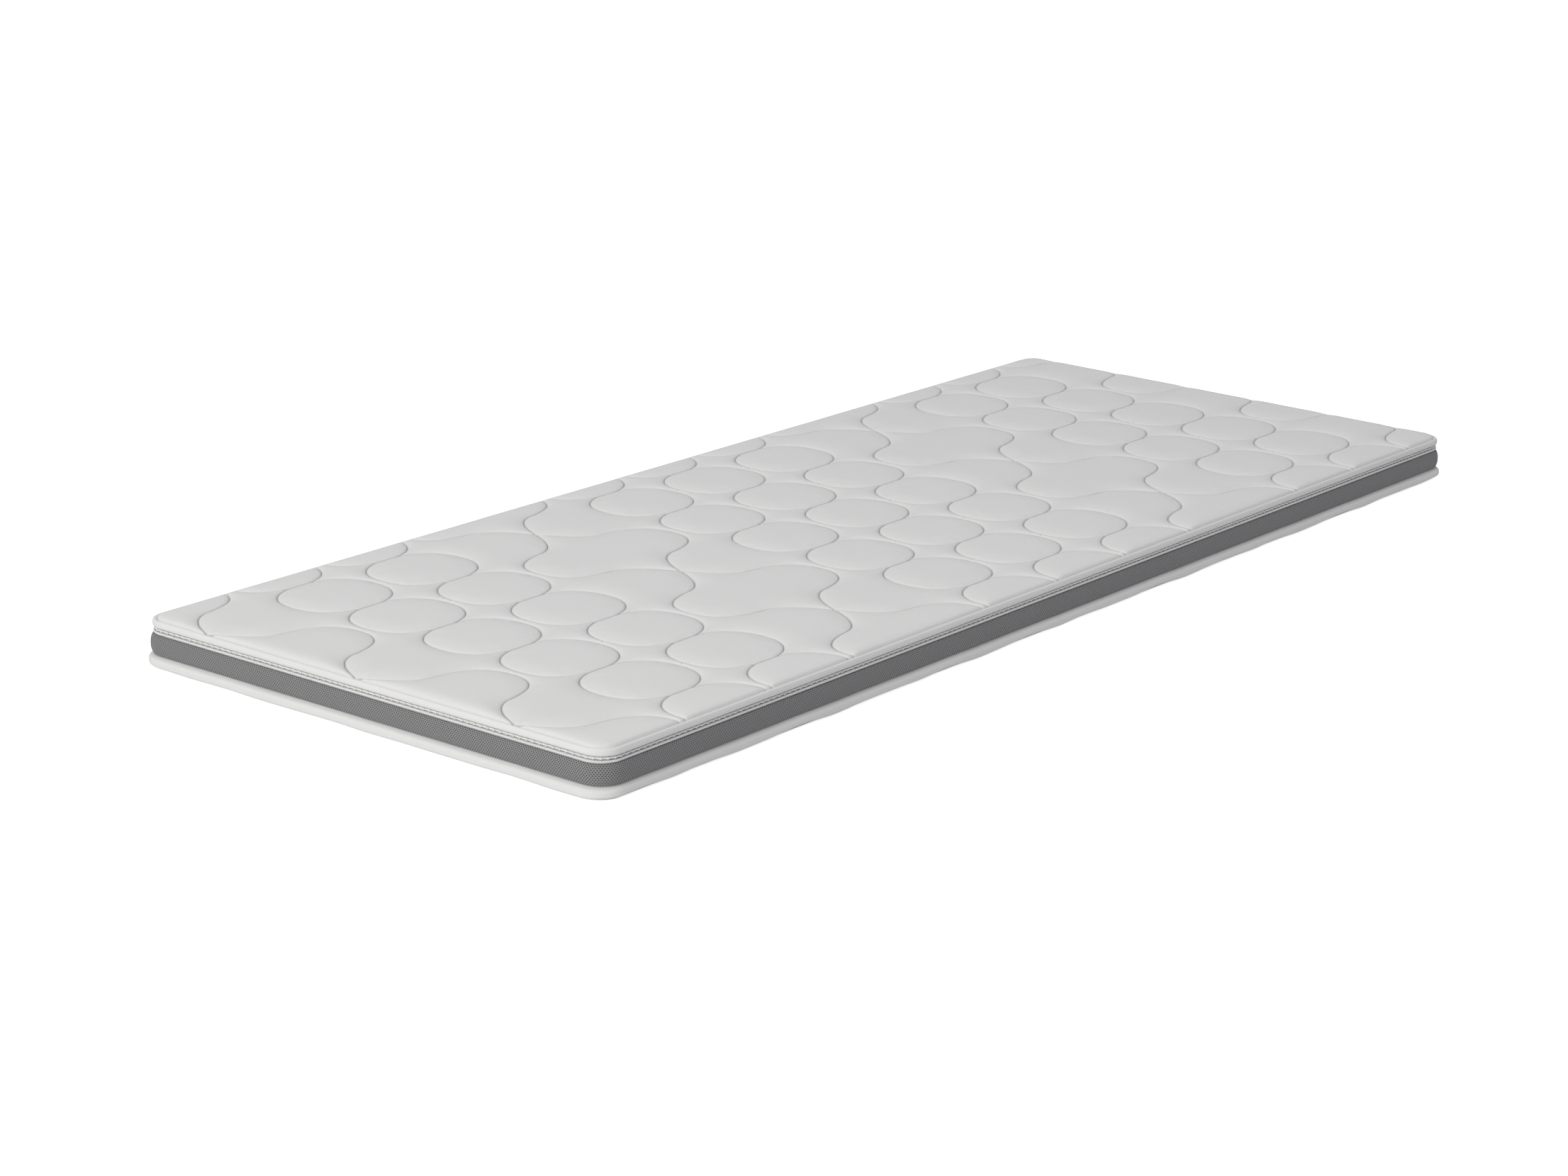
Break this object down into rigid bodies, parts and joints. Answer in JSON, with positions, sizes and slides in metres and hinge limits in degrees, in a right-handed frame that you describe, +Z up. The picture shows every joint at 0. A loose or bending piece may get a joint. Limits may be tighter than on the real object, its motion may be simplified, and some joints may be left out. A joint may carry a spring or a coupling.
{
  "type": "memory foam mattress",
  "caption": "Slim memory foam mattress in a zip-off cover, with quilted top and bottom panels, rolled edges and a grey mesh border band.",
  "frame": {"origin": "centre of the underside, on the surface the mattress lies on", "axes": "+X along the length, +Y across the width towards the side with the zip slider, +Z up"},
  "size_m": [2.007, 0.807, 0.068],
  "materials": {
    "quilt_knit": "matte",
    "wadding": "matte",
    "backing": "matte",
    "spacer_mesh": "matte",
    "band_lining": "matte",
    "thread": "satin",
    "zip_tape": "matte",
    "zip_coil": "satin",
    "zip_metal": "satin",
    "label_satin": "satin",
    "sleeve_jersey": "matte",
    "support_foam": "matte",
    "glue": "satin",
    "memory_foam": "matte"
  },
  "bodies": {
    "lower_cover": {"bottom_face_fabric": "quilt_knit", "bottom_wadding": "wadding", "bottom_backing": "backing", "bottom_rolled_edge": "quilt_knit", "border_band": "spacer_mesh", "band_lining": "band_lining", "bottom_seam_thread": "thread", "lower_zip_tape": "zip_tape", "lower_zip_coil": "zip_coil", "lower_end_stop": "zip_metal", "care_label": "label_satin"},
    "foam_core": {"inner_sleeve_lower": "sleeve_jersey", "inner_sleeve_upper": "sleeve_jersey", "support_foam": "support_foam", "glue_film": "glue", "memory_foam": "memory_foam"},
    "top_cover": {"top_backing": "backing", "top_wadding": "wadding", "top_face_fabric": "quilt_knit", "top_rolled_edge": "quilt_knit", "upper_zip_tape": "zip_tape", "upper_zip_coil": "zip_coil", "upper_end_stop": "zip_metal"},
    "zip_slider": {"slider_body": "zip_metal"},
    "pull_tab": {"pull_tab": "zip_metal"}
  },
  "joints": [
    {"name": "core_lift", "type": "slide", "parent": "lower_cover", "child": "foam_core", "axis": [0, 0, 1], "range_m": [0, 0.25]},
    {"name": "cover_lift", "type": "slide", "parent": "foam_core", "child": "top_cover", "axis": [0, 0, 1], "range_m": [0, 0.25]},
    {"name": "zip_travel", "type": "slide", "parent": "lower_cover", "child": "zip_slider", "axis": [-1, 0, 0], "range_m": [0, 1.8]},
    {"name": "tab_flip", "type": "hinge", "parent": "zip_slider", "child": "pull_tab", "pos_m": [0.9, 0.3986, 0.04975], "axis": [0, 0, 1], "range_deg": [0, 180]}
  ]
}
